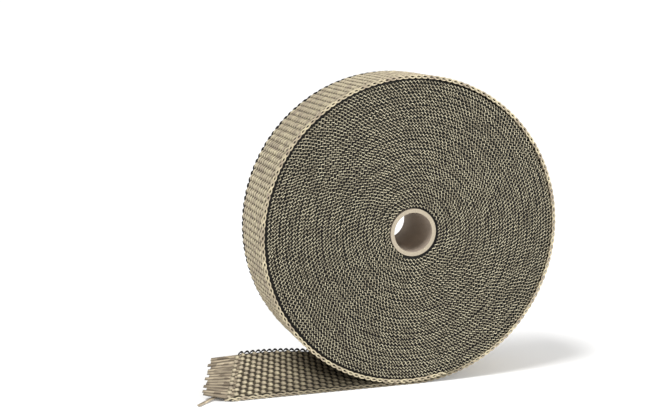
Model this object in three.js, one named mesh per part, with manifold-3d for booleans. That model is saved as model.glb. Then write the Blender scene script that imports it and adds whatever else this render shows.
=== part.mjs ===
// Exhaust heat wrap: a roll of woven heat tape on a cardboard core.
// The roll stands on the floor with its axis along Y. The free end of the tape leaves the
// bottom of the roll towards -X, twists a little and ends in a fringe. Millimetres, +Z up.
import * as THREE from 'three';
import { mergeVertices } from 'three/addons/utils/BufferGeometryUtils.js';
import Module from 'manifold-3d';

const wasm = await Module();
wasm.setup();

// The cardboard tube that the tape is wound on
const CORE_BORE = 25;
const CORE_WALL = 2.5;
const CORE_RECESS = 0.8; // how far each end of the tube lies inside the end of the roll

// The tape and its winding
const TAPE_WIDTH = 50.8;
const TAPE_THICKNESS = 1.8;
const WINDING_SLACK = 0.155; // air between two turns
const TURN_COUNT = 42;
const CORE_CLEARANCE = 0.3; // between the tube and the first turn
const TURNS_PER_RIDGE = 2; // turns that share one ridge on the ends of the roll
const RIDGE_DEPTH = 0.9; // how deep the groove between two ridges is

// The free end of the tape, measured on its middle surface
const TAIL_REACH = 119; // front edge, from under the roll's axis to the end of the weave
const PEEL_ANGLE = THREE.MathUtils.degToRad(23); // the back edge clings to the roll this far
const END_LEAN = 17; // the back corner of the weave's end lies this far short of the front one
const END_LIFT = 15.3; // and this far above it
const BACK_EDGE_TOE_IN = 0.14; // sideways slope of the back edge at the end
const PEEL_STIFFNESS = 14; // length over which the tape keeps the roll's direction
const TAIL_ROOT_ANGLE = THREE.MathUtils.degToRad(6); // stretch of the tail inside the outer turn
const TAIL_ROOT_SHARE = 0.12; // the share of the tail's steps that this stretch takes
const TAIL_STEPS = 25;
const TAIL_STRIPS = 8;

// The fringe: bundles of lengthwise yarn that stick out past the last crosswise yarn
const BUNDLE_COUNT = 14;
const BUNDLE_GAP = 0.4;
const BUNDLE_THICKNESS = 1.3;
const FRINGE_LENGTH = 14.5; // at the front edge
const FRINGE_SLANT = 4; // how much longer it is at the back edge
const FRINGE_UNEVENNESS = 1.2; // how much the cut ends step in and out
const UNEVENNESS_TURN = 2.4; // from one bundle to the next, in radians of that wave
const FRINGE_GATHER = 5; // how far the front bundles draw in towards the middle
const BUNDLE_ROOT = 2; // length of each bundle that lies inside the weave
const BUNDLE_STEPS = 3;

// One bundle has slipped out below the others and points at the viewer
const STRAND_WIDTH = 2.6;
const STRAND_ROOT = 0.28; // where it leaves the weave, as a share of the tape's width
const STRAND_SLIP = 9; // how far its tip lies past the cut ends at the front edge
const STRAND_SWING = 15.5; // how far its tip swings to the front
const STRAND_STEPS = 5;

const SIDES = 48; // flat sides of each round surface
const CORE_RADIUS = CORE_BORE / 2 + CORE_WALL;
const TURN_PITCH = TAPE_THICKNESS + WINDING_SLACK;
const ROLL_BORE_RADIUS = CORE_RADIUS + CORE_CLEARANCE;
const ROLL_RADIUS = ROLL_BORE_RADIUS + TURN_COUNT * TURN_PITCH;
const BUNDLE_PITCH = TAPE_WIDTH / BUNDLE_COUNT;
const STRAND_REACH = FRINGE_LENGTH + STRAND_SLIP; // measured from the end of the weave

const wovenTapeMaterial = new THREE.MeshStandardMaterial({
  color: 0xa8a07c,
  roughness: 0.85,
  metalness: 0,
});
const cardboardMaterial = new THREE.MeshStandardMaterial({
  color: 0xa39b85,
  roughness: 0.9,
  metalness: 0,
});

// A closed profile of (radius, y) points turned about the roll's axis, with a flat side down
function turned(profile) {
  const points = [...profile, profile[0]].map(([radius, y]) => new THREE.Vector2(radius, y));
  return new THREE.LatheGeometry(points, SIDES, Math.PI / SIDES).translate(0, 0, ROLL_RADIUS);
}

function withMergedCorners(geometry) {
  const merged = geometry.clone();
  merged.deleteAttribute('normal');
  merged.deleteAttribute('uv');
  return mergeVertices(merged);
}

function solidFrom(geometry) {
  const merged = withMergedCorners(geometry);
  const mesh = new wasm.Mesh({
    numProp: 3,
    vertProperties: Float32Array.from(merged.attributes.position.array),
    triVerts: Uint32Array.from(merged.index.array),
  });
  return new wasm.Manifold(mesh);
}

function geometryFrom(solid) {
  const mesh = solid.getMesh();
  const geometry = new THREE.BufferGeometry();
  geometry.setAttribute('position', new THREE.BufferAttribute(mesh.vertProperties, 3));
  geometry.setIndex(new THREE.BufferAttribute(mesh.triVerts, 1));
  geometry.computeVertexNormals();
  return geometry;
}

// One end of the roll, from the bore outwards: a ridge for each group of turns. The outermost
// ridge stays flat from its crest to the rim, so the roll can also lie on its end.
function ridgedEnd() {
  const ridgeCount = Math.round(TURN_COUNT / TURNS_PER_RIDGE);
  const ridgeWidth = (ROLL_RADIUS - ROLL_BORE_RADIUS) / ridgeCount;
  const groove = TAPE_WIDTH / 2 - RIDGE_DEPTH;
  const points = [];
  for (let ridge = 0; ridge < ridgeCount; ridge += 1) {
    const start = ROLL_BORE_RADIUS + ridge * ridgeWidth;
    points.push([start, groove]);
    points.push([start + ridgeWidth / 2, TAPE_WIDTH / 2]);
  }
  const sideRadius = ROLL_RADIUS / Math.cos(Math.PI / SIDES); // the flats touch the real round
  points.push([sideRadius, TAPE_WIDTH / 2]);
  return points;
}

function woundTape() {
  const frontEnd = ridgedEnd().map(([radius, y]) => [radius, -y]);
  const backEnd = ridgedEnd().reverse();
  return solidFrom(turned([...frontEnd, ...backEnd]));
}

// Where the tape leaves the roll, at a share of its width counted from the front edge,
// and an angle before or past that line
function onOuterTurn(across, extraAngle) {
  const angle = PEEL_ANGLE * across + extraAngle;
  const radius = ROLL_RADIUS - TAPE_THICKNESS / 2;
  return new THREE.Vector3(
    -radius * Math.sin(angle),
    TAPE_WIDTH * (across - 0.5),
    ROLL_RADIUS - radius * Math.cos(angle),
  );
}

function directionOffRoll(across) {
  const angle = PEEL_ANGLE * across;
  return new THREE.Vector3(-Math.cos(angle), 0, Math.sin(angle));
}

function directionAtEnd(across) {
  return new THREE.Vector3(-1, -BACK_EDGE_TOE_IN * across, 0).normalize();
}

function endOfWeave(across) {
  const sideways = Math.sqrt(TAPE_WIDTH ** 2 - END_LEAN ** 2 - END_LIFT ** 2);
  return new THREE.Vector3(
    -TAIL_REACH + END_LEAN * across,
    -TAPE_WIDTH / 2 + sideways * across,
    TAPE_THICKNESS / 2 + END_LIFT * across,
  );
}

// The middle line of the tail at one share of the tape's width
function tailLine(across) {
  const start = onOuterTurn(across, 0);
  const end = endOfWeave(across);
  const leave = start.clone().addScaledVector(directionOffRoll(across), PEEL_STIFFNESS);
  const arrive = end.clone().addScaledVector(directionAtEnd(across), -start.distanceTo(end) / 3);
  return new THREE.CubicBezierCurve3(start, leave, arrive, end);
}

// A thin box bent onto a middle surface. The surface takes shares along and across the box,
// and the box's outer face lies on the side that faces the floor.
function bentSlab(surface, thickness, alongSteps, acrossSteps) {
  const slab = new THREE.BoxGeometry(1, 1, 1, alongSteps, acrossSteps, 1);
  const corners = slab.attributes.position;
  const nudge = 0.001;
  for (let i = 0; i < corners.count; i += 1) {
    const along = corners.getX(i) + 0.5;
    const across = corners.getY(i) + 0.5;
    const lengthways = surface(along + nudge, across).sub(surface(along - nudge, across));
    const crossways = surface(along, across + nudge).sub(surface(along, across - nudge));
    const outwards = lengthways.cross(crossways).normalize();
    const point = surface(along, across).addScaledVector(outwards, corners.getZ(i) * thickness);
    corners.setXYZ(i, point.x, point.y, point.z);
  }
  return slab;
}

// The tail starts inside the outer turn, so that it grows out of the roll
function tail() {
  const surface = (along, across) => {
    if (along < TAIL_ROOT_SHARE) {
      return onOuterTurn(across, TAIL_ROOT_ANGLE * (along / TAIL_ROOT_SHARE - 1));
    }
    return tailLine(across).getPoint((along - TAIL_ROOT_SHARE) / (1 - TAIL_ROOT_SHARE));
  };
  return solidFrom(bentSlab(surface, TAPE_THICKNESS, TAIL_STEPS, TAIL_STRIPS));
}

function fringeBundle(index) {
  const first = (index * BUNDLE_PITCH + BUNDLE_GAP / 2) / TAPE_WIDTH;
  const share = (BUNDLE_PITCH - BUNDLE_GAP) / TAPE_WIDTH;
  const slanted = FRINGE_LENGTH + FRINGE_SLANT * first;
  const length = slanted + FRINGE_UNEVENNESS * Math.sin(UNEVENNESS_TURN * index);
  const surface = (along, across) => {
    const place = first + share * across;
    const past = along * (length + BUNDLE_ROOT) - BUNDLE_ROOT;
    const gather = FRINGE_GATHER * (1 - place) ** 2 * Math.max(past / length, 0);
    const point = endOfWeave(place).addScaledVector(directionAtEnd(place), past);
    return point.add(new THREE.Vector3(0, gather, gather / 2));
  };
  return solidFrom(bentSlab(surface, BUNDLE_THICKNESS, BUNDLE_STEPS, 1));
}

// The slipped bundle runs from the underside of the weave down to the floor
function looseStrand() {
  const root = endOfWeave(STRAND_ROOT);
  const floorHeight = BUNDLE_THICKNESS / 2;
  const start = new THREE.Vector3(root.x + BUNDLE_ROOT, root.y, root.z - BUNDLE_THICKNESS / 2);
  const bend = new THREE.Vector3(root.x - STRAND_REACH / 3, root.y, floorHeight);
  const tip = new THREE.Vector3(root.x - STRAND_REACH, root.y - STRAND_SWING, floorHeight);
  const route = new THREE.QuadraticBezierCurve3(start, bend, tip);
  const surface = (along, across) => {
    const heading = route.getTangent(THREE.MathUtils.clamp(along, 0, 1));
    const sideways = new THREE.Vector3(heading.y, -heading.x, 0).normalize();
    return route.getPoint(along).addScaledVector(sideways, STRAND_WIDTH * (across - 0.5));
  };
  return solidFrom(bentSlab(surface, BUNDLE_THICKNESS, STRAND_STEPS, 1));
}

function wovenTape() {
  let tape = woundTape().add(tail()).add(looseStrand());
  for (let index = 0; index < BUNDLE_COUNT; index += 1) {
    tape = tape.add(fringeBundle(index));
  }
  const mesh = new THREE.Mesh(geometryFrom(tape), wovenTapeMaterial);
  mesh.name = 'woven_tape';
  return mesh;
}

function cardboardCore() {
  const halfLength = TAPE_WIDTH / 2 - CORE_RECESS;
  const profile = [
    [CORE_BORE / 2, -halfLength],
    [CORE_RADIUS, -halfLength],
    [CORE_RADIUS, halfLength],
    [CORE_BORE / 2, halfLength],
  ];
  const mesh = new THREE.Mesh(turned(profile), cardboardMaterial);
  mesh.name = 'cardboard_core';
  return mesh;
}

const roll = new THREE.Group();
roll.add(wovenTape(), cardboardCore());

// The origin lies on the floor, under the middle of the whole part
const heatWrap = new THREE.Group();
heatWrap.add(roll);
const reach = new THREE.Box3().setFromObject(roll);
const middle = reach.getCenter(new THREE.Vector3());
roll.position.set(-middle.x, -middle.y, -reach.min.z);

export default heatWrap;
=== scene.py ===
# %% [markdown]
# # A roll of exhaust heat wrap
#
# The object is one long woven tape of mineral yarn, wound on a cardboard tube. The frame holds
# its solids at their real size: `woven_tape` and `cardboard_core`. This lesson gives them their
# cloth: lengthwise yarns that go over and under, twisted yarn along both edges of every turn,
# a frayed end, and the paper tube. Everything is in metres, with Z up and the floor at zero.

# %% Load the frame
import math
import bpy
import numpy as np
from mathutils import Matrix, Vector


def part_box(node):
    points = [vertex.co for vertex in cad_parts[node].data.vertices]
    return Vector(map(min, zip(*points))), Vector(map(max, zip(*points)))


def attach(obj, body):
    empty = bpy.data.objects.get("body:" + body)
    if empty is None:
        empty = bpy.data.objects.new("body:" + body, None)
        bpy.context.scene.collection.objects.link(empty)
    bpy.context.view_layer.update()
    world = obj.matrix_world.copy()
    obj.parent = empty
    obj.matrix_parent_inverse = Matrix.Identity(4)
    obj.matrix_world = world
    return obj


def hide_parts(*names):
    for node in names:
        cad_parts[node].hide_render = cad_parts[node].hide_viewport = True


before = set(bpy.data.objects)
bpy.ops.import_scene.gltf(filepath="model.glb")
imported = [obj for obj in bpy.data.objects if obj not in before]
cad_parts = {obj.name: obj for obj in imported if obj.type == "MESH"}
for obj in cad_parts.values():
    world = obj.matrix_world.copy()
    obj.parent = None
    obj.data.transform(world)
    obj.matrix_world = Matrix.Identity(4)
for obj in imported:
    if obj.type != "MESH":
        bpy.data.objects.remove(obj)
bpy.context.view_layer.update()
core_low, core_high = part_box("cardboard_core")
_, tape_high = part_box("woven_tape")

# %% [markdown]
# ## Sizes
#
# The frame gives the roll's place: its axis runs through the middle of the core, and its top is
# one diameter above the floor. The rest are sizes of the tape itself. A weave is counted, not
# drawn, so the two that matter most are the distance between crosswise yarns and the number of
# lengthwise ones.

# %% Name the sizes
MM = 0.001
AXIS_X = (core_low[0] + core_high[0]) / 2
MIDDLE_Y = (core_low[1] + core_high[1]) / 2
ROLL_RADIUS = tape_high[2] / 2
AXIS_Z = ROLL_RADIUS
CORE_RADIUS = (core_high[2] - core_low[2]) / 2
CORE_WALL = 2.5 * MM
CORE_LENGTH = core_high[1] - core_low[1]

TAPE_WIDTH = 50.8 * MM
FRONT_Y = MIDDLE_Y - TAPE_WIDTH / 2
HALF_THICKNESS = 0.95 * MM
PICK = 4.1 * MM  # from one crosswise yarn to the next
WARP_COUNT = 20  # lengthwise yarns
FRONT_BAND = 1.4 * MM  # loops of crosswise yarn along the front edge
BACK_BAND = 1.8 * MM  # dark thread along the back edge
WARP_PITCH = (TAPE_WIDTH - FRONT_BAND - BACK_BAND) / WARP_COUNT
TURN_COUNT = 42
FIRST_TURN_RADIUS = CORE_RADIUS + 1.0 * MM  # middle of the tape's thickness
LAST_TURN_RADIUS = ROLL_RADIUS - HALF_THICKNESS
LOOSE_GAP = 0.25 * MM  # air under the outermost turn where the tape leaves the roll
TURN_PITCH = (LAST_TURN_RADIUS - LOOSE_GAP - FIRST_TURN_RADIUS) / TURN_COUNT
print(f"turns {TURN_PITCH / MM:.3f} mm apart, yarns {WARP_PITCH / MM:.2f} mm apart")

# %% [markdown]
# ## Camera
#
# The camera stands where the photograph was taken from: a little to the left of the roll's axis
# and a little above it, with a long lens. It is made first, because it says which sides show.

# %% Set up the camera
CAMERA_TURN = math.radians(-17.6)
CAMERA_RISE = math.radians(9.69)
CAMERA_DISTANCE = 8 * ROLL_RADIUS
AIM = np.array([AXIS_X - 0.449 * ROLL_RADIUS, MIDDLE_Y, 1.136 * ROLL_RADIUS])


def make_camera():
    towards = np.array([
        math.sin(CAMERA_TURN) * math.cos(CAMERA_RISE),
        -math.cos(CAMERA_TURN) * math.cos(CAMERA_RISE),
        math.sin(CAMERA_RISE),
    ])
    data = bpy.data.cameras.new("photo_camera")
    data.lens = 66.7
    data.shift_x = 0.0019
    data.shift_y = 0.0048
    camera = bpy.data.objects.new("photo_camera", data)
    camera.location = AIM + towards * CAMERA_DISTANCE
    camera.rotation_euler = (math.pi / 2 - CAMERA_RISE, 0, CAMERA_TURN)
    bpy.context.scene.collection.objects.link(camera)
    bpy.context.scene.camera = camera
    return camera


camera = make_camera()
print("camera at", tuple(round(c, 3) for c in camera.location))

# %% [markdown]
# ## The tape's path
#
# Every yarn is modelled along a straight, flat tape and then laid on the tape's path. A Curve
# modifier would follow one line only, but the free end also twists: its front edge lies on the
# floor and its back edge clings to the roll a little longer. So a short function gives the
# place of each point of the tape: how far along it is from the end of the weave, how far
# across, and how high above the middle of the cloth. It starts with the wound part, a spiral.
# The outermost turn is loose: it keeps the full radius nearly all the way round, so a dark gap
# grows between it and the turn below.

# %% Describe the spiral
LOOSE_END, SETTLING = 1.6 * math.pi, 0.7 * math.pi


def smooth_step(values):
    share = np.clip(values, 0, 1)
    return share * share * (3 - 2 * share)


def turn_radius(angle):
    tight = LAST_TURN_RADIUS - LOOSE_GAP - TURN_PITCH * angle / (2 * math.pi)
    share = smooth_step((angle - LOOSE_END) / SETTLING)
    return LAST_TURN_RADIUS * (1 - share) + tight * share


HANDOVER = math.radians(10)  # from here on, all of the tape's width is on the roll
spiral_angles = np.linspace(HANDOVER, TURN_COUNT * 2 * math.pi, 40000)
steps = np.diff(spiral_angles) * turn_radius((spiral_angles[1:] + spiral_angles[:-1]) / 2)
spiral_runs = np.concatenate([[0], np.cumsum(steps)])
print(f"wound tape: {spiral_runs[-1]:.2f} m")


def on_roll(angle, across, height):
    radius = turn_radius(angle) + height
    return np.stack([
        AXIS_X + radius * np.sin(angle),
        FRONT_Y + across + 0 * angle,
        AXIS_Z - radius * np.cos(angle),
    ], axis=-1)


# %% [markdown]
# The free end is a sheet between two edges. Each lengthwise line of it leaves the roll at its
# own angle and bends down to the end of the weave. Past that end the same lines carry the
# fringe, which draws in and lifts a little at the front.

# %% Describe the free end
TAIL_REACH = 119 * MM
PEEL_ANGLE = math.radians(23)
END_LEAN = 17 * MM
END_LIFT = 15.3 * MM
BACK_EDGE_TOE_IN = 0.14
PEEL_STIFFNESS = 14 * MM
FRINGE_LENGTH = 14.5 * MM  # at the front edge
FRINGE_SLANT = 4 * MM  # how much longer it is at the back edge
FRINGE_GATHER = 5 * MM
TAIL_HEIGHT = HALF_THICKNESS + 0.25 * MM
HANGING_POINTS, WOUND_POINTS = 60, 30  # of each lengthwise line, off the roll and on it


def end_of_weave(share):
    sideways = math.sqrt(TAPE_WIDTH**2 - END_LEAN**2 - END_LIFT**2)
    return np.array([
        AXIS_X - TAIL_REACH + END_LEAN * share,
        FRONT_Y + sideways * share,
        TAIL_HEIGHT + END_LIFT * share,
    ])


def direction_at_end(share):
    heading = np.array([-1, -BACK_EDGE_TOE_IN * share, 0])
    return heading / np.linalg.norm(heading)


def tail_line(share):
    """Points of one lengthwise line, from the fringe's tip to where the spiral takes over."""
    peel = PEEL_ANGLE * share
    start = on_roll(np.array(-peel), share * TAPE_WIDTH, 0)
    end = end_of_weave(share)
    leave = start + PEEL_STIFFNESS * np.array([-math.cos(peel), 0, math.sin(peel)])
    arrive = end - direction_at_end(share) * np.linalg.norm(end - start) / 3
    t = np.linspace(1, 0, HANGING_POINTS)[:, None]
    hanging = (1 - t)**3 * start + 3 * (1 - t)**2 * t * leave
    hanging += 3 * (1 - t) * t**2 * arrive + t**3 * end
    wound = on_roll(np.linspace(-peel, HANDOVER, WOUND_POINTS)[1:], share * TAPE_WIDTH, 0)
    return np.concatenate([hanging, wound])


def evenly_spaced(points, count):
    runs = np.concatenate([[0], np.cumsum(np.linalg.norm(np.diff(points, axis=0), axis=1))])
    wanted = np.linspace(0, runs[-1], count)
    return np.stack([np.interp(wanted, runs, points[:, k]) for k in range(3)], axis=1), runs[-1]


TAIL_SHARES = np.linspace(-0.1, 1.1, 49)  # with a margin for what stands out of the edges
TAIL_STATIONS = 240
SHEET_END_ANGLE = 2.06 * math.pi  # one turn and a short lap
tail_rows = [evenly_spaced(tail_line(share), TAIL_STATIONS) for share in TAIL_SHARES]
tail_grid = np.stack([points for points, _ in tail_rows], axis=1)
TAIL_LENGTH = float(np.mean([length for _, length in tail_rows]))
SHEET_LENGTH = TAIL_LENGTH + float(np.interp(SHEET_END_ANGLE, spiral_angles, spiral_runs))
print(f"free end {TAIL_LENGTH / MM:.0f} mm, with one turn {SHEET_LENGTH / MM:.0f} mm")


def on_tail(along, across):
    """Place on the middle of the cloth, read from the grid between its four nearest points."""
    row = np.clip(along / TAIL_LENGTH, 0, 1) * (TAIL_STATIONS - 1)
    share = np.clip(across / TAPE_WIDTH, TAIL_SHARES[0], TAIL_SHARES[-1])
    column = (share - TAIL_SHARES[0]) / (TAIL_SHARES[-1] - TAIL_SHARES[0]) * (len(TAIL_SHARES) - 1)
    i = np.minimum(row.astype(int), TAIL_STATIONS - 2)
    j = np.minimum(column.astype(int), len(TAIL_SHARES) - 2)
    p, q = (row - i)[:, None], (column - j)[:, None]
    near = tail_grid[i, j] * (1 - q) + tail_grid[i, j + 1] * q
    far = tail_grid[i + 1, j] * (1 - q) + tail_grid[i + 1, j + 1] * q
    place = near * (1 - p) + far * p
    past = np.maximum(-along, 0)
    heading = np.stack([-np.ones_like(share), -BACK_EDGE_TOE_IN * share, np.zeros_like(share)], axis=1)
    heading /= np.linalg.norm(heading, axis=1)[:, None]
    gather = FRINGE_GATHER * (1 - share)**2 * past / FRINGE_LENGTH
    return place + heading * past[:, None] + np.stack([0 * gather, gather, gather / 2], axis=1)


NUDGE = 0.2 * MM  # to either side, to measure which way the cloth faces


def lay(flat):
    """Carry points of the flat tape (along, across, height) to their place."""
    along, across, height = flat.T
    angle = np.interp(along - TAIL_LENGTH, spiral_runs, spiral_angles)
    wound = on_roll(angle, across, height)
    lengthways = on_tail(along + NUDGE, across) - on_tail(along - NUDGE, across)
    crossways = on_tail(along, across + NUDGE) - on_tail(along, across - NUDGE)
    outwards = np.cross(crossways, lengthways)
    outwards /= np.linalg.norm(outwards, axis=1)[:, None]
    hanging = on_tail(along, across) + outwards * height[:, None]
    return np.where((along >= TAIL_LENGTH)[:, None], wound, hanging)


# %% [markdown]
# ## Helpers for modelling
#
# Each yarn is modelled as by hand: a circle is the section, extruded step by step along the
# yarn's own wave. One repeat of the wave is enough. An Array modifier copies it down the tape.

# %% Start a piece from a section
def deselect_all():
    bpy.ops.object.select_all(action="DESELECT")


def start_section(name, sides, half_width, half_height, at):
    deselect_all()
    bpy.ops.mesh.primitive_circle_add(
        vertices=sides, radius=1, location=(0, 0, 0), rotation=(0, math.pi / 2, 0))
    piece = bpy.context.object
    piece.name = piece.data.name = name
    bpy.ops.object.transform_apply(location=True, rotation=True, scale=True)
    bpy.ops.object.mode_set(mode="EDIT")
    bpy.ops.mesh.select_all(action="SELECT")
    bpy.ops.transform.resize(value=(1, half_width, half_height), center_override=(0, 0, 0))
    bpy.ops.transform.translate(value=at)
    return piece


def extrude_section(step, widen, thicken, centre):
    bpy.ops.mesh.extrude_edges_move()
    bpy.ops.transform.translate(value=step)
    bpy.ops.transform.resize(value=(1, widen, thicken), center_override=centre)


def apply_modifier(piece, kind, **settings):
    bpy.context.view_layer.objects.active = piece
    modifier = piece.modifiers.new(kind.lower(), kind)
    for key, value in settings.items():
        setattr(modifier, key, value)
    bpy.ops.object.modifier_apply(modifier=modifier.name)


def close_ends(piece):
    bpy.context.view_layer.objects.active = piece
    bpy.ops.object.mode_set(mode="EDIT")
    bpy.ops.mesh.select_mode(type="EDGE")
    bpy.ops.mesh.select_all(action="DESELECT")
    bpy.ops.mesh.select_non_manifold()
    bpy.ops.mesh.fill_holes(sides=0)
    bpy.ops.mesh.select_all(action="SELECT")
    bpy.ops.mesh.normals_make_consistent(inside=False)
    bpy.ops.object.mode_set(mode="OBJECT")


# %% [markdown]
# A waved yarn is given by four short functions of its position: its height, its sidestep, its
# half width and its half thickness. The helper extrudes one repeat and arrays it.

# %% Model a waved yarn
def waved_yarn(name, sides, wave, repeat, rings, count):
    """wave(x) gives (sidestep, height, half width, half height) at x along the yarn."""
    side, height, half_width, half_height = wave(0)
    piece = start_section(name, sides, half_width, half_height, (0, side, height))
    for ring in range(1, rings + 1):
        before = wave((ring - 1) * repeat / rings)
        now = wave(ring * repeat / rings)
        step = (repeat / rings, now[0] - before[0], now[1] - before[1])
        centre = (ring * repeat / rings, now[0], now[1])
        extrude_section(step, now[2] / before[2], now[3] / before[3], centre)
    bpy.ops.object.mode_set(mode="OBJECT")
    apply_modifier(
        piece, "ARRAY", count=count, use_relative_offset=False, use_constant_offset=True,
        constant_offset_displace=(repeat, 0, 0), use_merge_vertices=True,
        merge_threshold=0.01 * MM)
    close_ends(piece)
    return piece


def points_of(piece):
    flat = np.empty(len(piece.data.vertices) * 3)
    piece.data.vertices.foreach_get("co", flat)
    return flat.reshape(-1, 3)


def set_points(piece, points):
    piece.data.vertices.foreach_set("co", np.ascontiguousarray(points).ravel())
    piece.data.update()


def keep_flat_map(piece, flat):
    """Store the flat tape's own measure, in picks and yarns, as the piece's UV map."""
    corners = np.empty(len(piece.data.loops), dtype=np.int32)
    piece.data.loops.foreach_get("vertex_index", corners)
    layer = piece.data.uv_layers.new(name="flat_tape")
    uv = flat[corners][:, :2] / np.array([PICK, WARP_PITCH])
    layer.data.foreach_set("uv", uv.astype(np.float32).ravel())


def join(pieces, name):
    deselect_all()
    for piece in pieces:
        piece.select_set(True)
    bpy.context.view_layer.objects.active = pieces[0]
    bpy.ops.object.join()
    joined = bpy.context.object
    joined.name = joined.data.name = name
    return joined


def copy_moved(piece, offset):
    twin = piece.copy()
    twin.data = piece.data.copy()
    bpy.context.scene.collection.objects.link(twin)
    set_points(twin, points_of(twin) + np.array(offset))
    return twin


def shade_smooth(piece):
    deselect_all()
    piece.select_set(True)
    bpy.context.view_layer.objects.active = piece
    bpy.ops.object.shade_smooth()


def keep_painted_light(piece, painted_light):
    """Store each point's painted light for the material: 0 is full painted shade, 1 the yarn's own
    colour.
    """
    layer = piece.data.attributes.new("painted_light", "FLOAT", "POINT")
    layer.data.foreach_set("value", np.clip(painted_light, 0, 1).astype(np.float32))


def finish_on_path(piece, material, painted_light, wobble=None):
    flat = points_of(piece)
    keep_painted_light(piece, painted_light(flat))
    if wobble is not None:
        flat = flat + wobble(flat)
    keep_flat_map(piece, flat)
    set_points(piece, lay(flat))
    shade_smooth(piece)
    piece.data.materials.clear()
    piece.data.materials.append(material)
    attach(piece, "root")
    piece.data.calc_loop_triangles()
    print(f"{piece.name}: {len(piece.data.loop_triangles)} triangles")


# %% [markdown]
# ## Uneven hands
#
# No yarn lies exactly where its neighbour would put it. A seeded random walk, read at any place
# along the tape, shifts yarns by a few tenths of a millimetre, the same in every run. A noise
# texture in a Displace modifier could do it, but a walk of numbers also serves the flat stage.

# %% Make the unevenness
WALK_LENGTH = 8192


def uneven(seed, spacing, amount):
    values = np.random.RandomState(seed).uniform(-1, 1, WALK_LENGTH) * amount

    def shift(along):
        place = along / spacing + WALK_LENGTH / 2
        index = np.floor(place).astype(int) % (WALK_LENGTH - 1)
        part = smooth_step(place - np.floor(place))
        return values[index] * (1 - part) + values[index + 1] * part

    return shift


# %% [markdown]
# ## Yarn material
#
# Mineral yarn is matt and a little silky along its fibres. Its colour changes from one float to
# the next, from khaki to a pinkish grey, so the tint is drawn once for each cell of the weave
# from the flat map. Fine slanted lines stand for the twisted fibres, in colour and in bump. Shade
# is painted into the colour: it sinks towards a shade colour where the piece's painted_light is low.

# %% Build the yarn material
def add_node(tree, kind, **inputs):
    node = tree.nodes.new(kind)
    for key, value in inputs.items():
        node.inputs[key].default_value = value
    return node


def yarn_material(name, light, dark, shade, fibre_scale, depth=0.3, roughness=0.85):
    material = bpy.data.materials.new(name)
    material.use_nodes = True
    tree = material.node_tree
    link = tree.links.new
    shader = tree.nodes["Principled BSDF"]
    shader.inputs["Roughness"].default_value = roughness
    shader.inputs["Specular IOR Level"].default_value = 0.25
    flat = tree.nodes.new("ShaderNodeUVMap")
    flat.uv_map = "flat_tape"

    tint = add_node(tree, "ShaderNodeTexVoronoi", Scale=1, Randomness=0.6)
    tint.voronoi_dimensions = "2D"
    link(flat.outputs["UV"], tint.inputs["Vector"])
    split = tree.nodes.new("ShaderNodeSeparateColor")
    link(tint.outputs["Color"], split.inputs["Color"])
    colours = tree.nodes.new("ShaderNodeValToRGB")
    colours.color_ramp.elements[0].color = (*dark, 1)
    colours.color_ramp.elements[1].color = (*light, 1)
    link(split.outputs["Red"], colours.inputs["Fac"])

    slant = add_node(tree, "ShaderNodeMapping", Scale=fibre_scale, Rotation=(0, 0, 0.35))
    link(flat.outputs["UV"], slant.inputs["Vector"])
    fibres = add_node(tree, "ShaderNodeTexNoise", Scale=1, Detail=3)
    link(slant.outputs["Vector"], fibres.inputs["Vector"])
    streaks = tree.nodes.new("ShaderNodeMapRange")
    streaks.inputs["From Min"].default_value = 0.3
    streaks.inputs["From Max"].default_value = 0.7
    streaks.inputs["To Min"].default_value = 1 - depth
    streaks.inputs["To Max"].default_value = 1 + depth / 2
    link(fibres.outputs["Fac"], streaks.inputs["Value"])
    lit = tree.nodes.new("ShaderNodeVectorMath")
    lit.operation = "SCALE"
    link(colours.outputs["Color"], lit.inputs[0])
    link(streaks.outputs["Result"], lit.inputs["Scale"])

    # Painted shade: where the painted_light value is low, the colour is mixed towards the shade
    # colour.
    painted_light = tree.nodes.new("ShaderNodeAttribute")
    painted_light.attribute_name = "painted_light"
    painted_shade_mix = tree.nodes.new("ShaderNodeMix")
    painted_shade_mix.data_type = "RGBA"
    painted_shade_mix.inputs["A"].default_value = (*shade, 1)
    link(painted_light.outputs["Fac"], painted_shade_mix.inputs["Factor"])
    link(lit.outputs["Vector"], painted_shade_mix.inputs["B"])
    link(painted_shade_mix.outputs["Result"], shader.inputs["Base Color"])

    bump = tree.nodes.new("ShaderNodeBump")
    bump.inputs["Strength"].default_value = 0.6
    bump.inputs["Distance"].default_value = 0.25 * MM
    link(fibres.outputs["Fac"], bump.inputs["Height"])
    link(bump.outputs["Normal"], shader.inputs["Normal"])
    return material


# BLACK_SHADE is painted shade. ground_yarn and shade_yarn are near-black painted shade: between
# floats, behind the loops, in the roll's body.
BLACK_SHADE = (0.012, 0.011, 0.009)
face_yarn = yarn_material(
    "face_yarn", (0.68, 0.60, 0.41), (0.42, 0.35, 0.26), (0.08, 0.065, 0.04), (1.2, 14, 1))
edge_yarn = yarn_material(
    "edge_yarn", (0.92, 0.84, 0.60), (0.50, 0.44, 0.31), BLACK_SHADE, (5, 20, 1))
dark_thread = yarn_material(
    "dark_thread", (0.03, 0.028, 0.026), (0.012, 0.012, 0.012), BLACK_SHADE, (4, 20, 1))
ground_yarn = yarn_material(
    "ground_yarn", (0.07, 0.055, 0.035), (0.03, 0.025, 0.018), BLACK_SHADE, (9, 2, 1))
shade_yarn = yarn_material(
    "shade_yarn", (0.014, 0.013, 0.010), (0.008, 0.008, 0.007), BLACK_SHADE, (3, 8, 1))

# %% [markdown]
# ## Lengthwise yarns
#
# The tape is a plain weave: each flat lengthwise yarn goes over one crosswise yarn and under
# the next, and its neighbour does the opposite. On top of a crosswise yarn it spreads so wide
# that it nearly meets the next float, so every crosswise yarn shows as a rib. It slants a
# little on its way over. One yarn is modelled, and its copies are moved one pick along and one
# yarn across.

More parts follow.
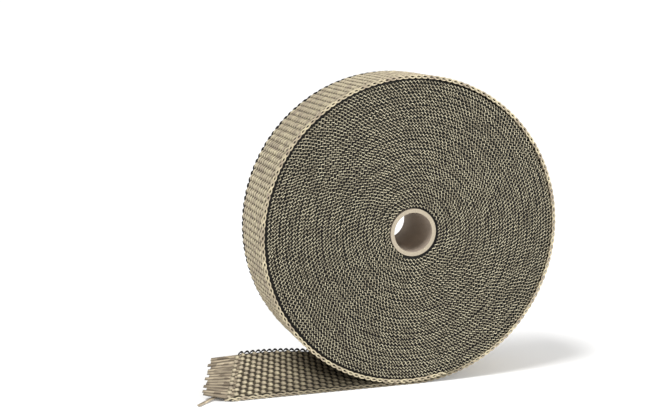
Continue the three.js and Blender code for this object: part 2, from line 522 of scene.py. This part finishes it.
# %% Model one lengthwise yarn
WARP_SLANT = 0.5 * MM
WARP_RISE = 0.62 * MM
NARROW, WIDE = 1.05 * MM, 2.2 * MM  # half the yarn's width, between two ribs and on one
THICK, THIN = 0.4 * MM, 0.36 * MM  # half its thickness at the same places
FULLNESS = 0.55  # below 1, the float's crest is broad and its ends are steep


def warp_wave(x):
    phase = math.pi * x / PICK
    crest = abs(math.cos(phase)) ** FULLNESS
    return (
        WARP_SLANT * math.sin(phase),
        math.copysign(WARP_RISE * crest, math.cos(phase)),
        NARROW + (WIDE - NARROW) * crest,
        THICK + (THIN - THICK) * crest,
    )


warp_repeats = math.ceil(SHEET_LENGTH / (2 * PICK))
first_warp = waved_yarn("lengthwise_yarns", 6, warp_wave, 2 * PICK, 8, warp_repeats)
warps = []
for index in range(WARP_COUNT):
    across = FRONT_BAND + (index + 0.5) * WARP_PITCH
    warps.append(copy_moved(first_warp, (PICK * (index % 2) - PICK, across, 0)))
bpy.data.objects.remove(first_warp)
lengthwise_yarns = join(warps, "lengthwise_yarns")
print(f"{WARP_COUNT} yarns of {warp_repeats} repeats")

# %% [markdown]
# On the roll the outer turn is pulled tight, and its floats close up. On the free end the
# tension is gone: the floats lie slanted, draw together and leave dark gaps between them. Close
# to the roll the roll's shadow is painted into their colour, and their low parts get painted shade.

# %% Lay the lengthwise yarns on the path
warp_shift = uneven(3, 2.3 * PICK, 0.3 * MM)
LOOSE_WIDTH = 0.36  # the width of a float on the free end, as a share of that on the roll
CUT_WIDTH = 0.7  # and at the cut end
LOOSE_SLANT = 0.9 * MM
TIGHT_START, TIGHT_RUN = 0.8, 0.3  # shares of the free end
# The roll's shadow on the free end is painted into the colour: these four set where and how dark.
SHADE_FULL = 0.5  # share of the free end where the roll's shade is full
SHADE_LEAN = 0.15  # how much later it starts at the back edge
SHADE_DEPTH = 0.75
SHADE_RETURN = 10 * PICK  # how soon the light comes back on the roll
# Painted shade on the low parts of each yarn, below a height that rises on the free end.
LOOSE_FLOOR, TIGHT_FLOOR = 0.46 * MM, 0.05 * MM  # height below which a yarn is all shade
PAINTED_LIGHT_RANGE = 0.5 * MM
WALK_PER_YARN = 0.37  # each yarn reads its own stretch of the random walk
HEIGHT_SHIFT, HEIGHT_PACE = 0.3, 1.3  # of the same walk, used for the height


def tightness(along):
    return smooth_step((along / TAIL_LENGTH - TIGHT_START) / TIGHT_RUN)


def out_of_shade(flat):
    """Painted shadow of the roll: 1 in the open, less on the free end close to the roll."""
    along, across = flat[:, 0], flat[:, 1]
    under = smooth_step((along / TAIL_LENGTH - SHADE_LEAN * across / TAPE_WIDTH) / SHADE_FULL)
    past = smooth_step((along - TAIL_LENGTH) / SHADE_RETURN)
    return 1 - SHADE_DEPTH * under * (1 - past)


def warp_painted_light(flat):
    """Painted shade below a height; on the free end only the crests stay pale. Adds the roll's painted
    shadow.
    """
    floor = LOOSE_FLOOR + (TIGHT_FLOOR - LOOSE_FLOOR) * tightness(flat[:, 0])
    return np.clip((np.abs(flat[:, 2]) - floor) / PAINTED_LIGHT_RANGE, 0, 1) * out_of_shade(flat)


def warp_wobble(flat):
    along, across, height = flat.T
    yarn = np.clip(np.floor((across - FRONT_BAND) / WARP_PITCH), 0, WARP_COUNT - 1)
    centre = FRONT_BAND + (yarn + 0.5) * WARP_PITCH
    tight = tightness(along)
    cut = 1 - smooth_step(along / (4 * PICK))
    spread = LOOSE_WIDTH + (1 - LOOSE_WIDTH) * tight + (CUT_WIDTH - LOOSE_WIDTH) * cut
    sideways = (across - centre) * (spread - 1) + warp_shift(along + WALK_PER_YARN * yarn)
    slant = np.where(yarn % 2 == 0, -1, 1) * np.sin(math.pi * along / PICK)
    sideways += LOOSE_SLANT * slant * (1 - tight)
    upwards = HEIGHT_SHIFT * warp_shift(along * HEIGHT_PACE + yarn)
    return np.stack([0 * along, sideways, upwards], axis=1)


finish_on_path(lengthwise_yarns, face_yarn, warp_painted_light, warp_wobble)

# %% [markdown]
# ## The ground of the tape
#
# Between the floats the eye meets the crosswise yarns, which lie in shade. Each could be a yarn
# of its own, but next to nothing of them shows. So they are one thin cloth here, gridded to the
# weave: a plane, subdivided, given its thickness with Solidify and laid on the path.

# %% Model the ground
GROUND_THICKNESS = 0.4 * MM


def make_ground():
    deselect_all()
    rows = round(SHEET_LENGTH / PICK) * 2
    bpy.ops.mesh.primitive_grid_add(
        x_subdivisions=rows, y_subdivisions=WARP_COUNT, size=1, location=(0, 0, 0))
    ground = bpy.context.object
    ground.name = ground.data.name = "tape_ground"
    width = TAPE_WIDTH - FRONT_BAND - BACK_BAND
    bpy.ops.object.mode_set(mode="EDIT")
    bpy.ops.mesh.select_all(action="SELECT")
    bpy.ops.transform.resize(value=(SHEET_LENGTH, width, 1), center_override=(0, 0, 0))
    bpy.ops.transform.translate(value=(SHEET_LENGTH / 2, FRONT_BAND + width / 2, 0))
    bpy.ops.object.mode_set(mode="OBJECT")
    apply_modifier(ground, "SOLIDIFY", thickness=GROUND_THICKNESS, offset=0)
    return ground


def fully_lit(flat):
    return np.ones(len(flat))


tape_ground = make_ground()
# Painted shade: the ground's near-black colour, and the roll's painted shadow on it from out_of_shade.
finish_on_path(tape_ground, ground_yarn, out_of_shade)

# %% [markdown]
# ## Loops along the front edge
#
# The crosswise yarns turn back along the front edge, and each turn leaves an eyelet that faces
# the front. On the free end and the outermost turn these loops stand clear: a chain of two
# yarns, one above the other, that cross once for every pick. One is modelled, and its twin runs
# one pick behind it. Rings would need a joint between each two, and two crossing yarns make the
# same eyelets. A near-black strip behind them is painted shade: the shaded cloth the eyelets look
# into.

# %% Model the front loops
LOOP_SWING = 0.87 * MM
LOOP_ACROSS, BACKING_ACROSS = 0.5 * MM, 1.7 * MM  # from the front edge
LOOP_SHADE = 0.75  # the chain is a little darker than the floats


def loop_wave(x):
    phase = math.pi * x / PICK
    opening = abs(math.cos(phase))
    return (
        0.25 * MM * math.sin(phase),
        math.copysign(LOOP_SWING * opening, math.cos(phase)),
        0.5 * MM,
        (0.8 - 0.38 * opening) * MM,
    )


# The chain is darkened by LOOP_SHADE and gets the roll's painted shadow, as the floats do.
def loop_painted_light(flat):
    return LOOP_SHADE * out_of_shade(flat)


loop_repeats = math.ceil(SHEET_LENGTH / (2 * PICK))
front_loops = waved_yarn("front_loops", 6, loop_wave, 2 * PICK, 12, loop_repeats)
front_loops = join([front_loops, copy_moved(front_loops, (PICK, 0, 0))], "front_loops")
set_points(front_loops, points_of(front_loops) + np.array([-PICK / 2, LOOP_ACROSS, 0]))
finish_on_path(front_loops, face_yarn, loop_painted_light)


def straight_wave(x):
    return 0, 0, 0.5 * MM, 0.8 * MM


loop_backing = waved_yarn("loop_backing", 4, straight_wave, PICK, 2, 2 * loop_repeats - 1)
set_points(loop_backing, points_of(loop_backing) + np.array([0, BACKING_ACROSS, 0]))
finish_on_path(loop_backing, shade_yarn, fully_lit)

# %% [markdown]
# ## Dark thread along the back edge
#
# The back edge is held by a dark thread that bulges out in one scallop for each pick, with a
# hole behind it. A curve with a bevel could draw it, but the waved section gives a closed mesh
# that takes the same path and the same map as the cloth.

# %% Model the scallops
SCALLOP = 2.8 * MM


def scallop_wave(x):
    phase = math.pi * x / PICK
    return (
        SCALLOP * abs(math.sin(phase)) ** 0.8,
        0.2 * MM * math.cos(phase),
        0.72 * MM,
        0.65 * MM,
    )


scallop_count = math.ceil(SHEET_LENGTH / PICK)
back_thread = waved_yarn("back_thread", 6, scallop_wave, PICK, 8, scallop_count)
set_points(back_thread, points_of(back_thread) + np.array([0, TAPE_WIDTH - BACK_BAND, 0]))
finish_on_path(back_thread, dark_thread, fully_lit)

# %% [markdown]
# ## The ends of the roll
#
# On the ends only the edges of the turns show: pale yarn that goes from one face of the tape to
# the other and back, twice for each pick, with dark holes between. Every turn has one such
# zigzag. The tape is the same all along but each turn is shorter than the one outside it, so
# the zigzags meet now crest to crest and now side by side, and the net changes its direction
# around the roll as it does on the real one. Bump would be lighter, but the holes have real
# depth. The yarn has four sides only, because there are thousands of crests.

# %% Model the zigzag of the edges
EDGE_RUN = TAIL_LENGTH + spiral_runs[-1]
ZIGZAG = 2.3 * MM
ZIGZAG_SWING = 0.68 * MM
ZIGZAG_BULGE = 0.4 * MM
FRONT_EDGE_DEPTH, BACK_EDGE_DEPTH = 0.9 * MM, 1.6 * MM  # behind the tape's edges
# Painted shade on the edge yarn: 0.4 on its middle, full colour where it faces out of the roll's end,
# darker deeper in.
EDGE_PAINTED_LIGHT, EDGE_PAINTED_LIGHT_RANGE = 0.4, 0.9 * MM  # on the yarn's middle, and what it rises over


def zigzag_wave(x):
    phase = 2 * math.pi * x / ZIGZAG
    crest = abs(math.cos(phase))
    return (
        ZIGZAG_BULGE * math.sin(phase),
        ZIGZAG_SWING * math.cos(phase),
        0.38 * MM,
        (0.36 - 0.12 * crest) * MM,
    )


edge_in_out = uneven(11, 6 * PICK, 0.35 * MM)
edge_up_down = uneven(12, 1.1 * PICK, 0.28 * MM)
edge_back_forth = uneven(13, 1.7 * PICK, 1.1 * MM)


def edge_wobble(flat):
    along = flat[:, 0]
    return np.stack([edge_back_forth(along), edge_in_out(along), edge_up_down(along)], axis=1)


def edge_turns(name, first, count, across, outwards):
    zigzag = waved_yarn(name, 4, zigzag_wave, ZIGZAG, 4, count)
    set_points(zigzag, points_of(zigzag) + np.array([first * ZIGZAG, across, 0]))

    def painted_light(flat):
        return EDGE_PAINTED_LIGHT + outwards * (flat[:, 1] - across) / EDGE_PAINTED_LIGHT_RANGE

    finish_on_path(zigzag, edge_yarn, painted_light, edge_wobble)
    return zigzag


first_zigzag = round(SHEET_LENGTH / ZIGZAG)
zigzag_count = math.floor(EDGE_RUN / ZIGZAG) - first_zigzag - 2
outer_count = zigzag_count // 2
front_end = ("front", FRONT_EDGE_DEPTH, -1)
back_end = ("back", TAPE_WIDTH - BACK_EDGE_DEPTH, 1)
for side, across, outwards in (front_end, back_end):
    edge_turns(
        f"{side}_edge_outer_turns", first_zigzag, outer_count, across, outwards)
    edge_turns(
        f"{side}_edge_inner_turns", first_zigzag + outer_count, zigzag_count - outer_count,
        across, outwards)

# %% [markdown]
# ## Body of the roll
#
# Behind the edges lie the turns themselves, in deep shade. Their body is one ring with a ridge
# for each turn on both ends. A plain cylinder would show flat where the holes look through, and
# a ridge gives each turn its own shade. It is turned as on a lathe: a circle is extruded and
# scaled from one point of the profile to the next.

# %% Turn the body
RING_SIDES = 72
BODY_INSET = 2.8 * MM  # how deep the body lies behind the edge yarn
BODY_RIDGE = 0.5 * MM
UNDER_LAST_TURN = 1.1 * MM  # the body fills the loose gap, so no light comes through it


def turned_ring(name, profile, sides):
    deselect_all()
    radius, y = profile[0]
    bpy.ops.mesh.primitive_circle_add(
        vertices=sides, radius=radius, location=(0, 0, 0), rotation=(math.pi / 2, 0, 0))
    piece = bpy.context.object
    piece.name = piece.data.name = name
    bpy.ops.object.transform_apply(location=True, rotation=True, scale=True)
    bpy.ops.object.mode_set(mode="EDIT")
    bpy.ops.mesh.select_all(action="SELECT")
    bpy.ops.transform.translate(value=(0, y, 0))
    for next_radius, next_y in profile[1:] + profile[:1]:
        bpy.ops.mesh.extrude_edges_move()
        bpy.ops.transform.translate(value=(0, next_y - y, 0))
        scale = next_radius / radius
        bpy.ops.transform.resize(value=(scale, 1, scale), center_override=(0, next_y, 0))
        radius, y = next_radius, next_y
    bpy.ops.mesh.select_all(action="SELECT")
    bpy.ops.mesh.remove_doubles(threshold=0.001 * MM)
    bpy.ops.mesh.normals_make_consistent(inside=False)
    bpy.ops.transform.translate(value=(AXIS_X, MIDDLE_Y, AXIS_Z))
    bpy.ops.object.mode_set(mode="OBJECT")
    return piece


def body_profile():
    half = TAPE_WIDTH / 2 - BODY_INSET
    end = []
    for turn in range(TURN_COUNT):
        radius = FIRST_TURN_RADIUS + (turn - 0.5) * TURN_PITCH
        end.append((radius, half - BODY_RIDGE))
        end.append((radius + TURN_PITCH / 2, half))
    end.append((LAST_TURN_RADIUS - UNDER_LAST_TURN, half - BODY_RIDGE))
    front = [(radius, -y) for radius, y in end]
    return front + end[::-1]


roll_body = turned_ring("roll_body", body_profile(), RING_SIDES)


def finish_solid(piece, material):
    shade_smooth(piece)
    piece.data.materials.clear()
    piece.data.materials.append(material)
    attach(piece, "root")
    piece.data.calc_loop_triangles()
    print(f"{piece.name}: {len(piece.data.loop_triangles)} triangles")


keep_flat_map(roll_body, points_of(roll_body))
keep_painted_light(roll_body, fully_lit(points_of(roll_body)))
# The body's near-black colour is painted shade: the turns seen through the holes in the edge yarn.
finish_solid(roll_body, shade_yarn)

# %% [markdown]
# ## Fringe
#
# Past the last crosswise yarn the lengthwise yarns gather in flat bundles of fibre with square
# cut ends. Hair could give every fibre, but at this size the eye sees only the bundles, so each
# one is a flat section, extruded in a few steps, with its fibres in the material.

# %% Model the fringe
FRINGE_STEPS = 6
FRINGE_COUNT = 14
FRINGE_PITCH = (TAPE_WIDTH - FRONT_BAND - BACK_BAND) / FRINGE_COUNT
FRINGE_ROOT = 3 * MM  # length inside the weave
FRINGE_UNEVENNESS = 1.2 * MM
UNEVENNESS_TURN = 2.4  # from one bundle to the next, in radians of that wave
BUNDLE_SPREAD, BUNDLE_HALF_HEIGHT = 0.49, 0.55 * MM  # half the width is a share of the pitch


def fringe_bundle(index):
    across = FRONT_BAND + (index + 0.5) * FRINGE_PITCH
    length = FRINGE_LENGTH + FRINGE_SLANT * across / TAPE_WIDTH
    length += FRINGE_UNEVENNESS * math.sin(UNEVENNESS_TURN * index)
    step = -(length + FRINGE_ROOT) / FRINGE_STEPS
    piece = start_section(
        f"bundle_{index}", 10, BUNDLE_SPREAD * FRINGE_PITCH, BUNDLE_HALF_HEIGHT,
        (FRINGE_ROOT, across, 0))
    for ring in range(1, FRINGE_STEPS + 1):
        widen = 1.02 if ring < FRINGE_STEPS else 0.97
        extrude_section((step, 0, 0), widen, 0.98, (FRINGE_ROOT + ring * step, across, 0))
    bpy.ops.object.mode_set(mode="OBJECT")
    close_ends(piece)
    return piece


def fringe_painted_light(flat):
    """Painted shade at the sides of each bundle, none on its middle."""
    place = (flat[:, 1] - FRONT_BAND) / FRINGE_PITCH
    return 0.2 + np.cos(math.pi * (place - np.floor(place) - 0.5))


fringe_yarn = yarn_material(
    "fringe_yarn", (0.50, 0.42, 0.30), (0.22, 0.175, 0.125), (0.04, 0.03, 0.02), (0.4, 5, 1), 0.8)
fringe = join([fringe_bundle(index) for index in range(FRINGE_COUNT)], "fringe")
finish_on_path(fringe, fringe_yarn, fringe_painted_light)

# %% [markdown]
# One bundle has slipped out under the others. It bends down to the floor and swings towards
# the viewer. A Curve modifier could bend it, but for one short piece it is simpler to extrude
# it straight and carry its points onto the bend.

# %% Model the slipped bundle
STRAND_ROOT = 0.28
STRAND_REACH = 23.5 * MM
STRAND_SWING = 15.5 * MM
STRAND_STEPS = 14
STRAND_HALF_WIDTH, STRAND_HALF_HEIGHT = 1.15 * MM, 0.6 * MM
STRAND_MIDDLE = 0.75 * MM  # height above the floor
STRAND_TUCK = np.array([2 * MM, 0, -0.8 * MM])  # its root, from the end of the weave


def lay_strand(flat):
    share = np.clip(flat[:, 0] / STRAND_REACH, 0, 1)[:, None]
    root = end_of_weave(STRAND_ROOT)
    start = root + STRAND_TUCK
    bend = np.array([root[0] - STRAND_REACH / 3, root[1], STRAND_MIDDLE])
    tip = np.array([root[0] - STRAND_REACH, root[1] - STRAND_SWING, STRAND_MIDDLE])
    place = (1 - share)**2 * start + 2 * share * (1 - share) * bend + share**2 * tip
    heading = (1 - share) * (bend - start) + share * (tip - bend)
    side = np.stack([heading[:, 1], -heading[:, 0], 0 * heading[:, 0]], axis=1)
    side /= np.linalg.norm(side, axis=1)[:, None]
    return place + side * flat[:, 1:2] + np.array([0, 0, 1]) * flat[:, 2:3]


def slipped_bundle():
    step = STRAND_REACH / STRAND_STEPS
    piece = start_section("slipped_bundle", 8, STRAND_HALF_WIDTH, STRAND_HALF_HEIGHT, (0, 0, 0))
    for ring in range(1, STRAND_STEPS + 1):
        extrude_section((step, 0, 0), 1, 1, (ring * step, 0, 0))
    bpy.ops.object.mode_set(mode="OBJECT")
    close_ends(piece)
    flat = points_of(piece)
    keep_flat_map(piece, flat)
    set_points(piece, lay_strand(flat))
    keep_painted_light(piece, fully_lit(flat))
    finish_solid(piece, fringe_yarn)
    return piece


strand = slipped_bundle()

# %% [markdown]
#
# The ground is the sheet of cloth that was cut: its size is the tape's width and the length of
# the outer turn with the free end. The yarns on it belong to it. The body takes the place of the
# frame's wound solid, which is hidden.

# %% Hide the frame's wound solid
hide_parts("woven_tape")

# %% [markdown]
# ## Cardboard core
#
# The tape is wound on a paper tube. Two cylinders and a Boolean would make it too, but four
# points turned about the axis give clean faces, with the helper that turned the body. Its cut
# ends are paler than its wall, so the faces that look along the axis get their own material.

# %% Turn the core
core_profile = [
    (CORE_RADIUS - CORE_WALL, -CORE_LENGTH / 2),
    (CORE_RADIUS, -CORE_LENGTH / 2),
    (CORE_RADIUS, CORE_LENGTH / 2),
    (CORE_RADIUS - CORE_WALL, CORE_LENGTH / 2),
]


PAPER_GRAIN = 700  # noise cells in a metre
SHARP_ANGLE = math.radians(40)


def cardboard_material(name, pale, dark):
    material = bpy.data.materials.new(name)
    material.use_nodes = True
    tree = material.node_tree
    shader = tree.nodes["Principled BSDF"]
    shader.inputs["Roughness"].default_value = 0.9
    shader.inputs["Specular IOR Level"].default_value = 0.2
    place = tree.nodes.new("ShaderNodeTexCoord")
    noise = add_node(tree, "ShaderNodeTexNoise", Scale=PAPER_GRAIN, Detail=4)
    tree.links.new(place.outputs["Object"], noise.inputs["Vector"])
    ramp = tree.nodes.new("ShaderNodeValToRGB")
    ramp.color_ramp.elements[0].color = (*dark, 1)
    ramp.color_ramp.elements[1].color = (*pale, 1)
    tree.links.new(noise.outputs["Fac"], ramp.inputs["Fac"])
    tree.links.new(ramp.outputs["Color"], shader.inputs["Base Color"])
    return material


paper_wall = cardboard_material("paper_wall", (0.42, 0.35, 0.28), (0.30, 0.25, 0.205))
paper_end = cardboard_material("paper_end", (0.38, 0.33, 0.25), (0.28, 0.24, 0.18))
core_tube = turned_ring("core_tube", core_profile, 96)
finish_solid(core_tube, paper_wall)
core_tube.data.materials.append(paper_end)
for face in core_tube.data.polygons:
    if abs(face.normal.y) > 0.5:
        face.material_index = 1
deselect_all()
core_tube.select_set(True)
bpy.context.view_layer.objects.active = core_tube
bpy.ops.object.shade_smooth_by_angle(angle=SHARP_ANGLE)
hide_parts("cardboard_core")

# %% [markdown]
# ## Floor and light
#
# A white floor in a white room, as in a catalogue picture. The main light is large and stands
# above the roll, a little to its left: the rim and the cut end of the tape catch it, and the
# roll shades the tape that runs out under it. A weaker and lower light from the front fills
# the round face.

# %% Make floor and lights
def make_floor():
    deselect_all()
    bpy.ops.mesh.primitive_plane_add(size=1200, location=(0, 0, -0.0002))
    floor = bpy.context.object
    floor.name = "studio_floor"
    material = bpy.data.materials.new("studio_floor")
    material.use_nodes = True
    shader = material.node_tree.nodes["Principled BSDF"]
    shader.inputs["Base Color"].default_value = (0.95, 0.95, 0.95, 1)
    shader.inputs["Roughness"].default_value = 0.9
    shader.inputs["Specular IOR Level"].default_value = 0.1
    floor.data.materials.append(material)
    return floor


def sun_light(name, towards, spread, strength):
    data = bpy.data.lights.new(name, "SUN")
    data.angle = spread
    data.energy = strength
    light = bpy.data.objects.new(name, data)
    flat_run = math.hypot(towards[0], towards[1])
    turn = math.atan2(towards[1], towards[0]) + math.pi / 2
    light.rotation_euler = (math.atan2(flat_run, towards[2]), 0, turn)
    bpy.context.scene.collection.objects.link(light)
    return light


def area_light(name, place, size, power):
    data = bpy.data.lights.new(name, "AREA")
    data.shape = "DISK"
    data.size = size
    data.energy = power
    light = bpy.data.objects.new(name, data)
    light.location = place
    aim = np.array([AXIS_X, MIDDLE_Y, AXIS_Z]) - np.array(place)
    flat_run = math.hypot(aim[0], aim[1])
    light.rotation_euler = (math.atan2(flat_run, -aim[2]), 0, math.atan2(aim[1], aim[0]) - math.pi / 2)
    bpy.context.scene.collection.objects.link(light)
    return light


KEY_TOWARDS, KEY_SPREAD, KEY_STRENGTH = (-0.5, -0.22, 1.0), math.radians(22), 2.35
FACE_PLACE, FACE_SIZE, FACE_POWER = (0.9, -1.5, 0.5), 0.7, 30
make_floor()
sun_light("key_light", KEY_TOWARDS, KEY_SPREAD, KEY_STRENGTH)
area_light("face_light", FACE_PLACE, FACE_SIZE, FACE_POWER)
print("lights:", [light.name for light in bpy.data.lights])
world = bpy.data.worlds.new("studio_air")
world.use_nodes = True
world.node_tree.nodes["Background"].inputs["Color"].default_value = (1, 1, 1, 1)
world.node_tree.nodes["Background"].inputs["Strength"].default_value = 0.5
bpy.context.scene.world = world
bpy.context.scene.view_settings.view_transform = "Standard"
